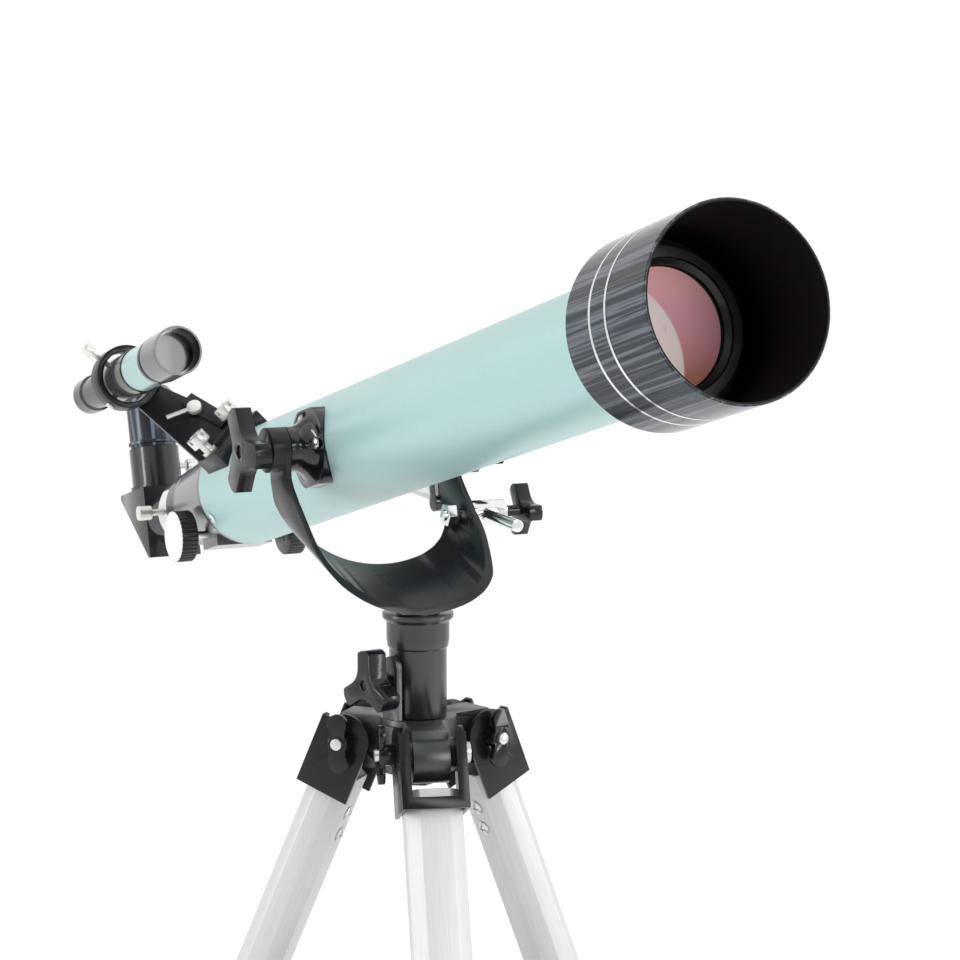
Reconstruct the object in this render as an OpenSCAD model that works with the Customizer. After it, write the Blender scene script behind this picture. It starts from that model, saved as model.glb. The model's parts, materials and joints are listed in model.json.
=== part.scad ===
// Refractor telescope on an alt-azimuth yoke and a folding three-legged stand.
// Origin on the floor on the azimuth axis, +Z up, the tube looks along +X.

/* [Stand] */
// Height of the altitude axis above the floor
pivot_z = 668; // [660:1:690]
// Height of the three leg hinges above the floor
hinge_z = 521; // [518:1:523]
// Distance from the azimuth axis to each leg hinge
hinge_r = 35; // [35:0.5:37]
// Lean of each leg away from the vertical
splay = 23; // [22:0.5:24]
// Direction of the first leg, measured from +X
leg_turn = -15.5; // [-30:0.5:0]

/* [Telescope] */
// Distance of the altitude axis behind the azimuth axis
pivot_back = 68; // [66:1:70]
// Angle of the tube above the horizon
tube_tilt = 15; // [10:1:18]
// Outer diameter of the main tube
tube_d = 64; // [64:0.1:64.4]
// Distance from the altitude axis to the front rim of the dew shield
mouth_x = 413; // [408:1:420]
// Distance from the altitude axis to the rear rim of the main tube
rear_x = 174; // [172:1:176]
// Outer diameter of the dew shield
shield_d = 90; // [90:1:92]
// Length of the dew shield
shield_len = 78; // [76:1:80]

/* [Yoke] */
// Outer width of the yoke across its two arms
yoke_w = 100; // [99.6:0.2:101]
// Thickness of the yoke plate
yoke_t = 3; // [2.6:0.1:3.2]
// Upward tilt of the yoke's trough towards the rear
yoke_tilt = 16.1; // [15.8:0.1:16.4]

/* [Finder] */
// Distance from the main tube's axis to the finder's axis
finder_rise = 95; // [92:1:96]
// Turn of the finder around the tube, from the top towards -Y
finder_turn = 41.5; // [41:1:43]

/* [Hidden] */

$fn = 72;
fit = 0.06;          // radial running clearance of every turning pin
eps = 0.01;          // overshoot of a cut past a face
gap = 0.4;           // space between faces that move past each other

tube_r = tube_d / 2;
tube_wall = 1;
shield_r = shield_d / 2;
shield_wall = 1.6;
shield_rear = mouth_x - shield_len;
tube_front = shield_rear + 8;
bolt_r = 3;
knob_screw_r = 3;

// Leg section: 30 mm across, 24 mm deep, with broad chamfers.
leg_w = 30;
leg_d = 24;
leg_chamfer = 7;
leg_wall = 1.4;
inner_w = leg_w - 2 * leg_wall - 0.8;
inner_d = leg_d - 2 * leg_wall - 0.8;
inner_chamfer = 6;
leg_top = 20;         // distances along the leg are measured down from the hinge
upper_end = 318;
lower_top = 64;
lower_end = 546;
clamp_top = 296;
clamp_end = 334;
clamp_w = 38;
clamp_d = 32;
clamp_screw_at = 325;

// Spreader: three braces from the leg clamps up to a hub under the tray.
brace_pin_at = 300;
brace_pin_in = 23;
brace_rise = 40;
hub_pin_r = 24;
pin_r = 2;
brace_t = 3;
brace_out_x = hinge_r + brace_pin_at * sin(splay) - brace_pin_in * cos(splay);
brace_out_z = hinge_z - brace_pin_at * cos(splay) - brace_pin_in * sin(splay);
brace_len = (brace_out_x - hub_pin_r) / cos(brace_rise);
hub_pin_z = brace_out_z + brace_len * sin(brace_rise);

// Tripod head and the post that turns in it.
head_top = pivot_z - 134;
head_bottom = head_top - 28;
ear_top = pivot_z - 101;
azimuth_knob_z = pivot_z - 114;
arm_w = 19;
hinge_boss_w = 30;
post_r = 15;
spigot_r = 11;
post_top = pivot_z - 79;

// Yoke: a strip bent to a trough with a wide shallow bottom, its axis tilted.
yoke_r = yoke_w / 2;
yoke_floor_r = 82;
yoke_corner = 18;
yoke_corner_turn = asin((yoke_r - yoke_corner) / (yoke_floor_r - yoke_corner));
yoke_corner_up = yoke_floor_r - (yoke_floor_r - yoke_corner) * cos(yoke_corner_turn);
yoke_bottom_x = 12.5;
yoke_bottom_z = pivot_z - 79;
arm_face = yoke_r - yoke_t;
eye_end = 57;
eye_r = 12;

// Slow-motion rod: the swivel on the yoke and the anchor on the tube are equally
// far from the altitude axis, so the rod turns half as far as the tube does.
swivel_x = -49;
swivel_z = pivot_z - 38;
nut_seat = arm_face - 2.3;
saddle_screw_x = 16.4;
saddle_seat_y = tube_r + 2.6;
link_r = sqrt(pow(swivel_x + pivot_back, 2) + pow(swivel_z - pivot_z, 2));
swivel_dir = atan2(swivel_z - pivot_z, swivel_x + pivot_back);
rod_angle = -1.5;
anchor_dir = 180 + 2 * rod_angle - swivel_dir;
anchor_x = -pivot_back + link_r * cos(anchor_dir);
anchor_z = pivot_z + link_r * sin(anchor_dir);
rod_y = 60;
rod_r = 3.3;
rod_tail = 68;
rod_nose = 44;
swivel_end = 72;
rod_knob_y = 81.5;
rod_gap = sqrt(pow(swivel_x - anchor_x, 2) + pow(swivel_z - anchor_z, 2));

// Places along the optical axis, measured from the altitude axis.
cell_front = tube_front + 9;
cone_rear = -257;
draw_rear = -276;
diag_front = -312;
diag_leg = 44;
diag_w = 33;
draw_r = 18;
finder_ring_x = -199;
finder_ring_len = 12;
finder_ring_r = 18.5;
finder_foot_rear = -157;
finder_foot_top = tube_r - finder_rise + 4;
strip_lean = 38.8;
strip_sheet = 2.4;
lever_y = 8.5;
lever_up = 25;
focus_at = -204;
focus_drop = 22;
focus_face = 40;
shaft_r = 2.2;
pinion_r = 3.5;

// ---------------------------------------------------------------- frames

// Turns a child that stands along Z so that it lies along +X from x.
module along_x(x = 0) { translate([x, 0, 0]) rotate([0, 90, 0]) children(); }
// Turns a child that stands along Z so that it lies along +Y from y.
module along_y(y = 0) { translate([0, y, 0]) rotate([-90, 0, 0]) children(); }
// Draws a flat outline in the XZ plane, t thick and centred on y.
module slab_xz(y, t) { translate([0, y + t / 2, 0]) rotate([90, 0, 0]) linear_extrude(t) children(); }
// The telescope's own frame: X along the optical axis, origin on the altitude axis.
module on_tube() { translate([-pivot_back, 0, pivot_z]) rotate([0, -tube_tilt, 0]) children(); }
// The altitude axis with the row's own directions, riding with the tube.
module on_tube_upright() { translate([-pivot_back, 0, pivot_z]) children(); }
// Upright frame of leg i, with X pointing away from the azimuth axis.
module at_leg(i) { rotate([0, 0, leg_turn + 120 * (i - 1)]) children(); }
// Frame of leg i along its own axis, with the origin on its hinge.
module on_leg(i) { at_leg(i) translate([hinge_r, 0, hinge_z]) rotate([0, -splay, 0]) children(); }
// The finder's frame: X along its axis, Z away from the main tube.
module on_finder() { on_tube() rotate([finder_turn, 0, 0]) translate([0, 0, finder_rise]) children(); }

// ---------------------------------------------------------------- shared shapes

// Rectangle w by d with its four corners cut by c.
module chamfered(w, d, c) {
    polygon([
        [d / 2, w / 2 - c], [d / 2 - c, w / 2], [c - d / 2, w / 2], [-d / 2, w / 2 - c],
        [-d / 2, c - w / 2], [c - d / 2, -w / 2], [d / 2 - c, -w / 2], [d / 2, c - w / 2]
    ]);
}

// Leg section from distance a to distance b below the hinge.
module leg_stretch(a, b, w, d, c) { translate([0, 0, -b]) linear_extrude(b - a) chamfered(w, d, c); }

// Rectangle w by d with round corners of radius r, centred.
module rounded(w, d, r) {
    square([w - 2 * r, d], center = true);
    square([w, d - 2 * r], center = true);
    for (x = [-1, 1], y = [-1, 1]) translate([x * (w / 2 - r), y * (d / 2 - r)]) circle(r, $fn = 32);
}

// Hand knob with three lobes, standing on z = 0, one lobe along +X.
module lobed_knob(r, t) {
    lobe_w = 0.54 * r;
    tip_r = 0.75 * lobe_w;
    difference() {
        linear_extrude(t) {
            difference() {
                circle(0.5 * r);
                for (k = [0:2]) rotate(60 + 120 * k) translate([0.95 * r, 0]) circle(0.55 * r);
            }
            for (k = [0:2]) rotate(120 * k) intersection() {
                translate([0, -lobe_w / 2]) square([r, lobe_w]);
                translate([r - tip_r, 0]) union() {
                    circle(tip_r);
                    translate([-r, -lobe_w / 2]) square([r, lobe_w]);
                }
            }
        }
        translate([0, 0, t - 1.2]) cylinder(r = 0.15 * r, h = 2);
    }
}

// Round-headed screw with a cross recess, its head standing on z = 0.
module cross_screw(head_r, head_h) {
    difference() {
        intersection() {
            cylinder(r = head_r, h = head_h, $fn = 32);
            translate([0, 0, head_h - 1.6 * head_r]) sphere(r = 1.6 * head_r, $fn = 48);
        }
        for (a = [0, 90]) rotate([0, 0, a])
            translate([-head_r * 0.6, -head_r * 0.12, head_h * 0.5]) cube([head_r * 1.2, head_r * 0.24, head_h]);
    }
}

// ---------------------------------------------------------------- stand

module tripod_head() {
    arm_end = hinge_r + 9;
    ear_in = post_r + gap;
    color("#1d1f22") difference() {
        union() {
            translate([0, 0, head_bottom]) cylinder(r = 20, h = head_top - head_bottom);
            for (i = [1:3]) at_leg(i) {
                translate([0, -arm_w / 2, head_bottom]) cube([arm_end - 8, arm_w, head_top - head_bottom]);
                translate([arm_end - 8, 0, head_bottom + 12]) along_y(-arm_w / 2) cylinder(r = 12, h = arm_w);
                translate([arm_end - 8, -arm_w / 2, head_bottom + 12]) cube([4, arm_w, 16]);
                translate([hinge_r, 0, hinge_z]) along_y(-hinge_boss_w / 2) cylinder(r = 8, h = hinge_boss_w);
            }
            rotate([0, 0, leg_turn - 60]) {
                translate([ear_in, -6, head_bottom + 4]) cube([3.4, 12, ear_top - 6 - head_bottom - 4]);
                translate([ear_in, 0, ear_top - 6]) along_x() cylinder(r = 6, h = 3.4);
                translate([ear_in - 2, -9, head_bottom]) cube([8, 18, head_top - head_bottom - 3]);
            }
        }
        translate([0, 0, head_bottom - eps]) cylinder(r = spigot_r + fit, h = 60);
        rotate([0, 0, leg_turn - 60]) translate([0, 0, azimuth_knob_z]) along_x(10) cylinder(r = knob_screw_r + fit, h = 20);
        for (i = [1:3]) at_leg(i)
            translate([hinge_r, 0, hinge_z]) along_y(-20) cylinder(r = bolt_r + fit, h = 40);
    }
}

module azimuth_knob() {
    color("#1b1c1f") rotate([0, 0, leg_turn - 60]) translate([0, 0, azimuth_knob_z]) {
        translate([25, 0, 0]) along_x() rotate([0, 0, 180]) lobed_knob(18, 11);
        along_x(post_r + gap) cylinder(r = knob_screw_r, h = 12);
    }
}

module yoke_post() {
    collar_r = 16.4;
    color("#1c1e20") difference() {
        rotate_extrude() polygon([
            [0, head_bottom - 3], [9, head_bottom - 3], [9, head_bottom], [spigot_r, head_bottom],
            [spigot_r, head_top + gap], [post_r, head_top + gap], [post_r, post_top - 19],
            [collar_r - 0.6, post_top - 18.2], [collar_r, post_top - 14], [collar_r, post_top - 5],
            [18.5, post_top - 3], [18.5, post_top - 0.6], [11.5, post_top - 0.6],
            [11.5, post_top + 20], [0, post_top + 20]
        ]);
        translate([yoke_bottom_x, 0, yoke_bottom_z]) rotate([0, yoke_tilt, 0])
            translate([-60, 0, yoke_floor_r]) along_x() cylinder(r = yoke_floor_r, h = 120, $fn = 180);
    }
    color("#b9bbbd") translate([0, 0, head_bottom - 8]) cylinder(r = 9, h = 5, $fn = 6);
}

// Frame of the yoke's trough: X along the trough, Z up from its underside.
module in_trough() { translate([yoke_bottom_x, 0, yoke_bottom_z]) rotate([0, yoke_tilt, 0]) children(); }

// Section of the trough, drawn in by t: floor arc, two corners and straight arms.
module trough_section(t) {
    turn = yoke_corner_turn;
    corner_y = yoke_r - yoke_corner;
    corner = [for (a = [90:-6:turn]) [corner_y + (yoke_corner - t) * sin(a), yoke_corner_up - (yoke_corner - t) * cos(a)]];
    floor_arc = [for (a = [turn - 3:-3:3 - turn]) [(yoke_floor_r - t) * sin(a), yoke_floor_r - (yoke_floor_r - t) * cos(a)]];
    far_corner = [for (k = [len(corner) - 1:-1:0]) [-corner[k][0], corner[k][1]]];
    polygon(concat([[t - yoke_r, 150], [yoke_r - t, 150]], corner, floor_arc, far_corner));
}

// Outline of the yoke seen from the side, X and height over the altitude axis.
yoke_outline = [
    [-57, 0], [-56.6, -14], [-52.5, -19.5], [-46, -25.5], [-38, -32], [-30, -38.5], [-23.5, -44],
    [-16.8, -50], [-10.4, -55], [-4.7, -59], [1, -63], [5.6, -67], [8.4, -70], [10.8, -74],
    [12.5, -79], [12.5, -90], [-40, -90], [-41, -61], [-42.3, -57], [-44.6, -53.5], [-48.5, -49.6],
    [-54, -45.4], [-60.5, -41], [-67.5, -36], [-74, -29.5], [-79, -18], [-79, 0]
];

module yoke() {
    color("#212327") difference() {
        union() {
            intersection() {
                in_trough() translate([-150, 0, 0]) rotate([90, 0, 90]) linear_extrude(200) difference() {
                    trough_section(0);
                    trough_section(yoke_t);
                }
                translate([0, 60, pivot_z]) rotate([90, 0, 0]) linear_extrude(120) {
                    polygon(yoke_outline);
                    translate([-pivot_back, 0]) circle(eye_r);
                }
            }
            for (side = [0, 1]) mirror([0, side, 0]) translate([-pivot_back, 0, pivot_z])
                along_y(arm_face) cylinder(r = eye_r, h = eye_end - arm_face);
        }
        translate([-pivot_back, 0, pivot_z]) along_y(-60) cylinder(r = knob_screw_r + fit, h = 120);
        translate([swivel_x, 0, swivel_z]) along_y(30) cylinder(r = bolt_r + fit, h = 40);
        translate([swivel_x, 0, swivel_z]) along_y(30) cylinder(r = 7, h = nut_seat - 30);
    }
}

module leg_bracket(i) {
    cheek_in = hinge_boss_w / 2 + 0.3;
    sheet = 2;
    web_x = 14;
    color("#1a1b1e") on_leg(i) difference() {
        union() {
            for (side = [-1, 1]) slab_xz(side * (cheek_in + sheet / 2), sheet) {
                circle(r = web_x);
                translate([-web_x, -31]) square([2 * web_x + sheet, 31]);
                translate([0, -eps]) square([web_x + sheet, 8]);
            }
            translate([web_x, -cheek_in - sheet, -31]) cube([sheet, 2 * (cheek_in + sheet), 39]);
        }
        translate([web_x - 1, -12, -25]) cube([sheet + 2, 24, 40]);
        along_y(-30) cylinder(r = bolt_r, h = 60);
    }
}

module upper_leg(i) {
    color("#d9dadc") on_leg(i) difference() {
        leg_stretch(leg_top, upper_end, leg_w, leg_d, leg_chamfer);
        leg_stretch(leg_top - 1, upper_end + 1, leg_w - 2 * leg_wall, leg_d - 2 * leg_wall, leg_chamfer - 0.8);
    }
}

// Side of leg i on which its wing nut sits.
function nut_side(i) = i == 3 ? 1 : -1;

module leg_fasteners(i) {
    color("#c9c6bd") on_leg(i) {
        mirror([0, nut_side(i) < 0 ? 0 : 1, 0]) {
            along_y(-28) cylinder(r = bolt_r, h = 28 + 17.3);
            along_y(17.3) cylinder(r = 5.3, h = 4, $fn = 48);
        }
        for (s = [41, 54]) translate([-leg_d / 2, 0, -s]) rotate([0, -90, 0]) cross_screw(4, 2);
    }
}

module wing_nut(i) {
    color("#1a1b1d") on_leg(i) mirror([0, nut_side(i) < 0 ? 0 : 1, 0]) rotate([0, 25, 0]) difference() {
        union() {
            along_y(-26) cylinder(r = 5.5, h = 8.4);
            for (side = [-1, 1]) translate([0, -24.5, side * 10]) along_y(-1.6) cylinder(r = 5.4, h = 3.2, $fn = 40);
            translate([-4.4, -26.1, -10]) cube([8.8, 3.2, 20]);
        }
        along_y(-30) cylinder(r = bolt_r + fit, h = 20);
    }
}

module leg_clamp(i) {
    lug_in = clamp_d / 2 - 1;
    color("#202124") on_leg(i) difference() {
        union() {
            leg_stretch(clamp_top, clamp_end, clamp_w, clamp_d, leg_chamfer + 1);
            for (side = [-1, 1]) {
                translate([-brace_pin_in, side * 4, -brace_pin_at]) along_y(-2) cylinder(r = 6, h = 4);
                translate([-brace_pin_in, side * 4 - 2, -brace_pin_at - 6]) cube([brace_pin_in - lug_in + 2, 4, 12]);
            }
            translate([-brace_pin_in, 0, -brace_pin_at]) along_y(-5) cylinder(r = pin_r, h = 10);
            translate([0, 0, -clamp_screw_at]) along_x(10) cylinder(r = 7, h = 11);
        }
        leg_stretch(clamp_top - 1, upper_end, leg_w, leg_d, leg_chamfer);
        leg_stretch(upper_end - 1, clamp_end + 1, inner_w + 2 * gap, inner_d + 2 * gap, inner_chamfer + 0.2);
        translate([0, 0, -clamp_screw_at]) along_x(5) cylinder(r = knob_screw_r + fit, h = 20);
    }
}

module clamp_screw(i) {
    color("#1b1c1e") on_leg(i) translate([0, 0, -clamp_screw_at]) {
        along_x(inner_d / 2 + gap) cylinder(r = knob_screw_r, h = 14);
        along_x(23) lobed_knob(12, 9);
    }
}

module lower_leg(i) {
    color("#cfd0d2") on_leg(i) difference() {
        leg_stretch(lower_top, lower_end, inner_w, inner_d, inner_chamfer);
        leg_stretch(lower_top - 1, lower_end - 3, inner_w - 2.6, inner_d - 2.6, inner_chamfer - 0.8);
    }
}

module foot(i) {
    boot_top = 524;
    color("#17181a") intersection() {
        on_leg(i) difference() {
            union() {
                leg_stretch(boot_top, 600, inner_w + 5, inner_d + 5, inner_chamfer + 1);
                leg_stretch(lower_end, 600, inner_w + 9, inner_d + 9, inner_chamfer + 1);
            }
            leg_stretch(boot_top - 1, lower_end, inner_w, inner_d, inner_chamfer);
        }
        translate([-400, -400, 0]) cube([800, 800, 200]);
    }
}

// Flat bar in the XZ plane from the origin along +X, with an eye at each end.
module eye_bar(length, w, eye_a, eye_b, hole_a, hole_b) {
    difference() {
        union() {
            translate([0, -w / 2]) square([length, w]);
            circle(eye_a);
            translate([length, 0]) circle(eye_b);
        }
        circle(hole_a);
        translate([length, 0]) circle(hole_b);
    }
}

module brace(i) {
    color("#2a2c2f") at_leg(i) translate([brace_out_x, 0, brace_out_z]) rotate([0, -(180 - brace_rise), 0])
        slab_xz(0, brace_t) eye_bar(brace_len, 12, 6, 8.6, pin_r + fit, 6.6);
}

module brace_hub() {
    eye_slot = brace_t + 1.6;
    color("#1f2023") translate([0, 0, hub_pin_z]) {
        difference() {
            translate([0, 0, 9]) cylinder(r = 26, h = 3);
            for (i = [1:3]) at_leg(i) translate([12, -eye_slot / 2, 8]) cube([20, eye_slot, 5]);
        }
        difference() {
            translate([0, 0, -6]) cylinder(r = 9, h = 16);
            translate([0, 0, -7]) cylinder(r = 5, h = 12);
        }
        translate([0, 0, 11]) cylinder(r = 3, h = 12);
        for (i = [1:3]) at_leg(i) {
            for (side = [-1, 1]) difference() {
                translate([8, side * 4.5 - 1.2, -4]) cube([20, 2.4, 14]);
                translate([hub_pin_r, 0, 0]) along_y(-8) cylinder(r = 1.4, h = 16, $fn = 24);
            }
            translate([hub_pin_r, 0, 0]) along_y(-5.7) cylinder(r = 1.4, h = 11.4, $fn = 24);
        }
    }
}

// Outline of the tray, drawn in by t: a centre and three round lobes between the legs.
module tray_outline(t) {
    circle(29 - t);
    for (i = [1:3]) rotate(leg_turn + 120 * (i - 1) + 60) translate([44, 0]) circle(24 - t);
}

module tray() {
    color("#26282b") translate([0, 0, hub_pin_z + 12]) difference() {
        linear_extrude(6) tray_outline(0);
        translate([0, 0, 3]) linear_extrude(4) tray_outline(2);
        for (i = [1:3]) at_leg(i) rotate([0, 0, 60]) translate([44, 0, -1]) cylinder(r = 16.2, h = 8);
        translate([0, 0, -1]) cylinder(r = 3 + fit, h = 6);
    }
}

module tray_nut() {
    color("#1b1c1e") translate([0, 0, hub_pin_z + 15.3]) difference() {
        union() {
            cylinder(r = 9, h = 6);
            for (a = [0:30:330]) rotate([0, 0, a]) translate([8.4, 0, 0]) cylinder(r = 1.6, h = 6, $fn = 24);
        }
        translate([0, 0, -1]) cylinder(r = 3 + fit, h = 10);
    }
}

// ---------------------------------------------------------------- slow-motion rod

module rod_swivel() {
    block_in = yoke_r + gap;
    color("#c8cacc") translate([swivel_x, 0, swivel_z]) difference() {
        union() {
            along_y(block_in) cylinder(r = 7, h = swivel_end - block_in);
            along_y(nut_seat - 8) cylinder(r = bolt_r, h = block_in - nut_seat + 9);
            along_y(nut_seat - gap - 6) cylinder(r = 6.4, h = 6, $fn = 6);
        }
        rotate([0, -rod_angle, 0]) translate([0, rod_y, 0]) along_x(-12) cylinder(r = rod_r + fit, h = 24);
        along_y(rod_y + rod_r + 1) cylinder(r = knob_screw_r + fit, h = 20);
    }
}

module rod() {
    color("#d2d4d6") translate([anchor_x, rod_y, anchor_z]) rotate([0, -rod_angle, 0]) difference() {
        union() {
            along_x(-rod_tail) cylinder(r = rod_r, h = rod_tail + rod_gap + rod_nose);
            along_y(-4) cylinder(r = 6, h = 8);
        }
        along_y(-5) cylinder(r = 2 + fit, h = 10);
    }
}

module rod_knob() {
    color("#1b1c1f") translate([swivel_x, 0, swivel_z]) {
        along_y(rod_y + rod_r + 1.4) cylinder(r = knob_screw_r, h = 20);
        along_y(rod_knob_y) lobed_knob(15.2, 7.5);
    }
}

// ---------------------------------------------------------------- altitude axis

module altitude_knob(side) {
    knob_in = 63;
    color("#1b1c1f") translate([-pivot_back, 0, pivot_z]) mirror([0, side < 0 ? 1 : 0, 0]) {
        along_y(tube_r + 4) cylinder(r = knob_screw_r, h = knob_in - tube_r - 3);
        along_y(eye_end + gap) cylinder(r = 4.5, h = knob_in - eye_end);
        along_y(knob_in) rotate([0, 0, side > 0 ? -105 : 0]) lobed_knob(24.5, 9);
    }
}
module altitude_knob_left() { altitude_knob(-1); }
module altitude_knob_right() { altitude_knob(1); }

// Boss that carries the tube on one side and flares into a wide rounded foot on the tube.
module saddle(side) {
    foot_len = 43;
    foot_tall = 41;
    foot_corner = 10;
    flare = 10.5;
    boss_r = 12;
    boss_end = arm_face - gap;
    flare_y = tube_r + 11.5;
    foot_y = tube_r - 12;
    color("#17181b") on_tube() mirror([0, side < 0 ? 1 : 0, 0]) difference() {
        union() {
            along_y(foot_y) cylinder(r = boss_r, h = boss_end - foot_y);
            intersection() {
                along_y() rotate_extrude($fn = 96) difference() {
                    square([boss_r + flare, flare_y]);
                    translate([boss_r + flare, flare_y]) circle(flare, $fn = 96);
                }
                along_y(foot_y) linear_extrude(boss_end - foot_y) rounded(foot_len, foot_tall, foot_corner);
            }
        }
        along_x(-40) cylinder(r = tube_r, h = 80, $fn = 120);
        along_y(tube_r + 3) cylinder(r = knob_screw_r + fit, h = 30);
        translate([saddle_screw_x, 0, 0]) along_y(saddle_seat_y) cylinder(r = 3.6, h = 12);
    }
}
module saddle_left() { saddle(-1); }

// The far saddle also carries the rod's anchor on an arm that passes behind the yoke.
module saddle_right() {
    arm_y = 38;
    outer_y = 51.4;
    outer_t = 4;
    link_x = -27;
    link_z = -7.2;
    saddle(1);
    color("#17181b") on_tube_upright() {
        slab_xz(arm_y, 4) difference() {
            union() {
                circle(11.5);
                rotate(atan2(link_z, link_x)) translate([0, -5]) square([norm([link_x, link_z]), 10]);
                translate([link_x, link_z]) circle(5);
            }
            circle(knob_screw_r + fit);
        }
        translate([link_x, 0, link_z]) along_y(arm_y) cylinder(r = 5, h = outer_y + outer_t - arm_y);
        slab_xz(outer_y, outer_t) union() {
            translate([link_x, link_z]) rotate(atan2(anchor_z - pivot_z - link_z, anchor_x + pivot_back - link_x))
                translate([0, -3.6]) square([norm([anchor_x + pivot_back - link_x, anchor_z - pivot_z - link_z]), 7.2]);
            translate([anchor_x + pivot_back, anchor_z - pivot_z]) circle(5);
        }
        translate([anchor_x + pivot_back, 0, anchor_z - pivot_z]) {
            along_y(outer_y) cylinder(r = 2, h = rod_y + 7 - outer_y);
            along_y(rod_y + 4 + gap) cylinder(r = 4, h = 2.4);
        }
    }
}

// ---------------------------------------------------------------- optical tube

module main_tube() {
    color("#a8cdc8") on_tube() difference() {
        along_x(-rear_x) cylinder(r = tube_r, h = rear_x + tube_front, $fn = 120);
        along_x(-rear_x - 1) cylinder(r = tube_r - tube_wall, h = rear_x + tube_front + 2, $fn = 120);
    }
}

module tube_screws() {
    color("#141516") on_tube() {
        for (a = [-60, 60, 180]) rotate([a + 180, 0, 0])
            translate([-rear_x + 7, 0, tube_r]) cross_screw(3.2, 2.2);
        for (a = [-90, 90]) translate([saddle_screw_x, 0, 0]) rotate([a, 0, 0])
            translate([0, 0, saddle_seat_y]) cross_screw(3.2, 2.2);
    }
}

module objective_cell() {
    color("#121315") on_tube() along_x() rotate_extrude($fn = 96) polygon([
        [tube_r, tube_front - 6], [37, tube_front - 6], [37, cell_front - 3], [35.5, cell_front - 3],
        [35.5, cell_front], [31.5, cell_front], [31.5, cell_front - 2.5], [29, cell_front - 4],
        [29, tube_front + 4], [30.4, tube_front + 4], [30.4, tube_front], [tube_r, tube_front]
    ]);
}

module objective_lens() {
    edge = 1.2;
    bulge_r = 140;
    sag = bulge_r - sqrt(bulge_r * bulge_r - 30 * 30);
    color("#c98fa3") on_tube() along_x(tube_front) rotate_extrude($fn = 96) intersection() {
        translate([0, -1]) square([30, 8]);
        translate([0, edge + sag - bulge_r]) circle(bulge_r, $fn = 200);
        translate([0, bulge_r - sag / 2 + 0.2]) circle(bulge_r, $fn = 200);
    }
}

module dew_shield() {
    color("#15171a") on_tube() along_x() rotate_extrude($fn = 120) polygon([
        [tube_r, shield_rear], [shield_r - 3, shield_rear], [shield_r - 1, shield_rear + 1],
        [shield_r, shield_rear + 3], [shield_r, shield_rear + 25], [shield_r - 0.3, shield_rear + 25],
        [shield_r - 0.3, shield_rear + 26.8], [shield_r, shield_rear + 26.8], [shield_r, shield_rear + 40],
        [shield_r - 0.3, shield_rear + 40], [shield_r - 0.3, shield_rear + 42.6], [shield_r, shield_rear + 42.6],
        [shield_r, mouth_x - 0.6], [shield_r - 0.5, mouth_x],
        [shield_r - shield_wall, mouth_x], [shield_r - shield_wall, shield_rear + 2], [tube_r, shield_rear + 2]
    ]);
}

module shield_bands() {
    color("#e4e6e8") on_tube() for (x = [25, 40]) along_x(shield_rear + x) difference() {
        cylinder(r = shield_r, h = 1.8, $fn = 120);
        translate([0, 0, -1]) cylinder(r = shield_r - 0.3, h = 4, $fn = 120);
    }
}

// ---------------------------------------------------------------- focuser and diagonal

module focuser_body() {
    housing_w = 34;
    color("#9a9ea1") on_tube() difference() {
        union() {
            along_x() rotate_extrude($fn = 96) polygon([
                [0, -rear_x + 8], [tube_r - tube_wall, -rear_x + 8], [tube_r - tube_wall, -rear_x],
                [tube_r, -rear_x], [tube_r, -rear_x - 3], [30, -rear_x - 6], [24.5, cone_rear + 20],
                [24.5, cone_rear + 17], [23, cone_rear + 17], [23, cone_rear], [0, cone_rear]
            ]);
            translate([focus_at - 12, -housing_w / 2, -focus_drop - 8]) cube([24, housing_w, 16]);
        }
        along_x(cone_rear - 1) cylinder(r = draw_r + fit, h = 100);
        translate([focus_at, 0, -focus_drop]) along_y(-30) cylinder(r = shaft_r + fit, h = 60);
        translate([focus_at, 0, -focus_drop]) along_y(-5.4) cylinder(r = pinion_r + gap, h = 10.8);
    }
}

// Pinion shaft under the drawtube.
module focus_shaft() {
    color("#c9cbcd") on_tube() translate([focus_at, 0, -focus_drop]) {
        along_y(5 - focus_face) cylinder(r = shaft_r, h = 2 * focus_face - 10);
        along_y(-5) cylinder(r = pinion_r, h = 10, $fn = 48);
    }
}

module focus_knob(side) {
    ribs = 36;
    knob_r = 15;
    color("#1c1d20") on_tube() translate([focus_at, 0, -focus_drop]) mirror([0, side < 0 ? 1 : 0, 0]) difference() {
        union() {
            along_y(focus_face - 11) cylinder(r = knob_r - 0.6, h = 10.4);
            for (a = [0:ribs - 1]) rotate([0, a * 360 / ribs, 0])
                translate([knob_r - 0.8, 0, 0]) along_y(focus_face - 10.6) cylinder(r = 0.8, h = 9.6, $fn = 16);
            along_y(focus_face - 1) cylinder(r = 13, h = 1);
        }
        along_y(focus_face - 12) cylinder(r = shaft_r, h = 7);
    }
}
module focus_knob_left() { focus_knob(-1); }
module focus_knob_right() { focus_knob(1); }

module drawtube() {
    color("#d5d7d9") on_tube() difference() {
        union() {
            along_x(draw_rear) cylinder(r = draw_r, h = -rear_x - draw_rear + 40);
            along_x(draw_rear) cylinder(r = 21, h = 14);
            along_x(draw_rear - 8) cylinder(r = 18.6, h = 9);
        }
        along_x(draw_rear - 10) cylinder(r = 15.9, h = 160);
        translate([draw_rear + 7, 0, 0]) along_y(-24) cylinder(r = 2 + fit, h = 10);
    }
}

// Thumbscrew with a knurled ball head, its shank along +Z from the origin.
module thumb_screw(r, shank, head_r, head_h) {
    cylinder(r = r, h = shank);
    translate([0, 0, shank]) cylinder(r = head_r, h = head_h, $fn = 32);
}

module drawtube_screw() {
    color("#dedfe0") on_tube() translate([draw_rear + 7, 0, 0]) mirror([0, 1, 0])
        along_y(16.2) thumb_screw(2, 12.5, 4.4, 8);
}

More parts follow.
